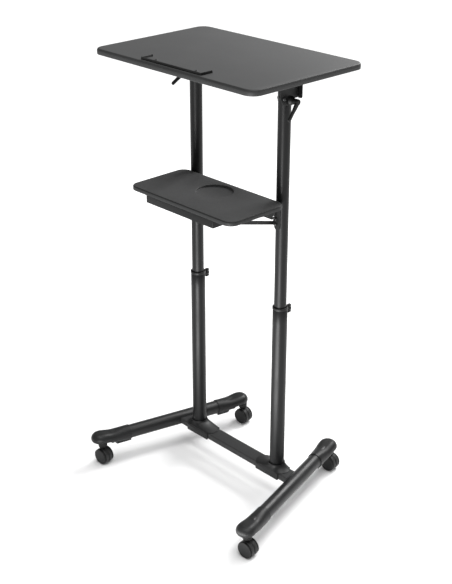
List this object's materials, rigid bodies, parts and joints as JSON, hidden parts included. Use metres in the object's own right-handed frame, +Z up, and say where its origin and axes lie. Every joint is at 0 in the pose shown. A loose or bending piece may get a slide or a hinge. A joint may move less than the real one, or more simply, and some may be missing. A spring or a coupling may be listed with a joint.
{
  "type": "lectern podium",
  "caption": "Wheeled lectern with a tilting desktop on two telescopic columns, a shelf with a cup recess and a splayed base.",
  "frame": {"origin": "on the floor, below the middle of the outline seen from above", "axes": "+X to the right along the desktop, +Y away from the reader, +Z up from the floor"},
  "size_m": [0.6948, 0.5328, 1.297],
  "materials": {
    "desktop_laminate": "matt charcoal laminate with a fine leathery grain, on particle board",
    "shelf_plastic": "moulded, fine texture",
    "black_plastic": "moulded, fine texture",
    "powder_coated_steel": "satin black powder coat",
    "book_stop_steel": "satin black powder coat",
    "wheel": "matt hard tread and disc",
    "fastener": "black oxide"
  },
  "bodies": {
    "base": {"cross_beam": "powder_coated_steel", "foot_tube_left": "powder_coated_steel", "foot_tube_right": "powder_coated_steel", "foot_cap_front_left": "black_plastic", "foot_cap_front_right": "black_plastic", "foot_cap_rear_left": "black_plastic", "foot_cap_rear_right": "black_plastic", "column_shroud_left": "black_plastic", "column_shroud_right": "black_plastic", "outer_tube_left": "powder_coated_steel", "outer_tube_right": "powder_coated_steel", "tube_collar_left": "black_plastic", "tube_collar_right": "black_plastic", "knob_nut_left": "powder_coated_steel", "knob_nut_right": "powder_coated_steel"},
    "columns": {"inner_tube_left": "powder_coated_steel", "inner_tube_right": "powder_coated_steel", "guide_bush_left": "black_plastic", "guide_bush_right": "black_plastic", "tube_plugs": "black_plastic", "shelf_tray": "shelf_plastic", "shelf_pan": "powder_coated_steel", "shelf_rear_rail": "powder_coated_steel", "shelf_bracket_left": "powder_coated_steel", "shelf_bracket_right": "powder_coated_steel", "shelf_brace_left": "powder_coated_steel", "shelf_brace_right": "powder_coated_steel", "shelf_bolts": "fastener"},
    "desktop": {"table_top": "desktop_laminate", "tilt_bracket_left": "powder_coated_steel", "tilt_bracket_right": "powder_coated_steel", "pivot_bolt_left": "fastener", "pivot_bolt_right": "fastener", "stop_bolts": "fastener", "book_stop": "book_stop_steel", "book_stop_screws": "fastener", "bracket_screws": "fastener"},
    "clamp_lever_left": {"clamp_lever_left": "black_plastic"},
    "clamp_lever_right": {"clamp_lever_right": "black_plastic"},
    "height_knob_left": {"height_knob_left": "black_plastic"},
    "height_knob_right": {"height_knob_right": "black_plastic"},
    "caster_front_left": {"caster_housing_front_left": "black_plastic", "caster_axle_front_left": "fastener"},
    "wheel_a_front_left": {"caster_wheel_a_front_left": "wheel"},
    "wheel_b_front_left": {"caster_wheel_b_front_left": "wheel"},
    "caster_front_right": {"caster_housing_front_right": "black_plastic", "caster_axle_front_right": "fastener"},
    "wheel_a_front_right": {"caster_wheel_a_front_right": "wheel"},
    "wheel_b_front_right": {"caster_wheel_b_front_right": "wheel"},
    "caster_rear_left": {"caster_housing_rear_left": "black_plastic", "caster_axle_rear_left": "fastener"},
    "wheel_a_rear_left": {"caster_wheel_a_rear_left": "wheel"},
    "wheel_b_rear_left": {"caster_wheel_b_rear_left": "wheel"},
    "caster_rear_right": {"caster_housing_rear_right": "black_plastic", "caster_axle_rear_right": "fastener"},
    "wheel_a_rear_right": {"caster_wheel_a_rear_right": "wheel"},
    "wheel_b_rear_right": {"caster_wheel_b_rear_right": "wheel"}
  },
  "joints": [
    {"name": "height_adjust", "type": "slide", "parent": "base", "child": "columns", "axis": [0, 0, 1], "range_m": [-0.22, 0]},
    {"name": "desktop_tilt", "type": "hinge", "parent": "columns", "child": "desktop", "pos_m": [0, 0.038, 1.199], "axis": [1, 0, 0], "range_deg": [0, 40]},
    {"name": "clamp_lever_left_turn", "type": "hinge", "parent": "desktop", "child": "clamp_lever_left", "pos_m": [-0.2025, 0.038, 1.199], "axis": [1, 0, 0], "range_deg": [-90, 0]},
    {"name": "clamp_lever_right_turn", "type": "hinge", "parent": "desktop", "child": "clamp_lever_right", "pos_m": [0.2025, 0.038, 1.199], "axis": [1, 0, 0], "range_deg": [0, 90]},
    {"name": "height_knob_left_turn", "type": "hinge", "parent": "base", "child": "height_knob_left", "pos_m": [-0.1675, 0.068, 0.598], "axis": [0, 1, 0], "range_deg": [0, 360]},
    {"name": "height_knob_right_turn", "type": "hinge", "parent": "base", "child": "height_knob_right", "pos_m": [0.1675, 0.068, 0.598], "axis": [0, 1, 0], "range_deg": [0, 360]},
    {"name": "caster_front_left_swivel", "type": "hinge", "parent": "base", "child": "caster_front_left", "pos_m": [-0.31745, -0.23053, 0.06], "axis": [0, 0, 1], "continuous": true},
    {"name": "wheel_a_front_left_roll", "type": "hinge", "parent": "caster_front_left", "child": "wheel_a_front_left", "pos_m": [-0.31346, -0.23032, 0.025], "axis": [0.0523, -0.9986, 0], "continuous": true},
    {"name": "wheel_b_front_left_roll", "type": "hinge", "parent": "caster_front_left", "child": "wheel_b_front_left", "pos_m": [-0.31346, -0.23032, 0.025], "axis": [0.0523, -0.9986, 0], "continuous": true},
    {"name": "caster_front_right_swivel", "type": "hinge", "parent": "base", "child": "caster_front_right", "pos_m": [0.31745, -0.23053, 0.06], "axis": [0, 0, 1], "continuous": true},
    {"name": "wheel_a_front_right_roll", "type": "hinge", "parent": "caster_front_right", "child": "wheel_a_front_right", "pos_m": [0.32145, -0.23032, 0.025], "axis": [0.0523, -0.9986, 0], "continuous": true},
    {"name": "wheel_b_front_right_roll", "type": "hinge", "parent": "caster_front_right", "child": "wheel_b_front_right", "pos_m": [0.32145, -0.23032, 0.025], "axis": [0.0523, -0.9986, 0], "continuous": true},
    {"name": "caster_rear_left_swivel", "type": "hinge", "parent": "base", "child": "caster_rear_left", "pos_m": [-0.18934, 0.24761, 0.06], "axis": [0, 0, 1], "continuous": true},
    {"name": "wheel_a_rear_left_roll", "type": "hinge", "parent": "caster_rear_left", "child": "wheel_a_rear_left", "pos_m": [-0.18534, 0.24782, 0.025], "axis": [0.0523, -0.9986, 0], "continuous": true},
    {"name": "wheel_b_rear_left_roll", "type": "hinge", "parent": "caster_rear_left", "child": "wheel_b_rear_left", "pos_m": [-0.18534, 0.24782, 0.025], "axis": [0.0523, -0.9986, 0], "continuous": true},
    {"name": "caster_rear_right_swivel", "type": "hinge", "parent": "base", "child": "caster_rear_right", "pos_m": [0.18934, 0.24761, 0.06], "axis": [0, 0, 1], "continuous": true},
    {"name": "wheel_a_rear_right_roll", "type": "hinge", "parent": "caster_rear_right", "child": "wheel_a_rear_right", "pos_m": [0.19333, 0.24782, 0.025], "axis": [0.0523, -0.9986, 0], "continuous": true},
    {"name": "wheel_b_rear_right_roll", "type": "hinge", "parent": "caster_rear_right", "child": "wheel_b_rear_right", "pos_m": [0.19333, 0.24782, 0.025], "axis": [0.0523, -0.9986, 0], "continuous": true}
  ]
}
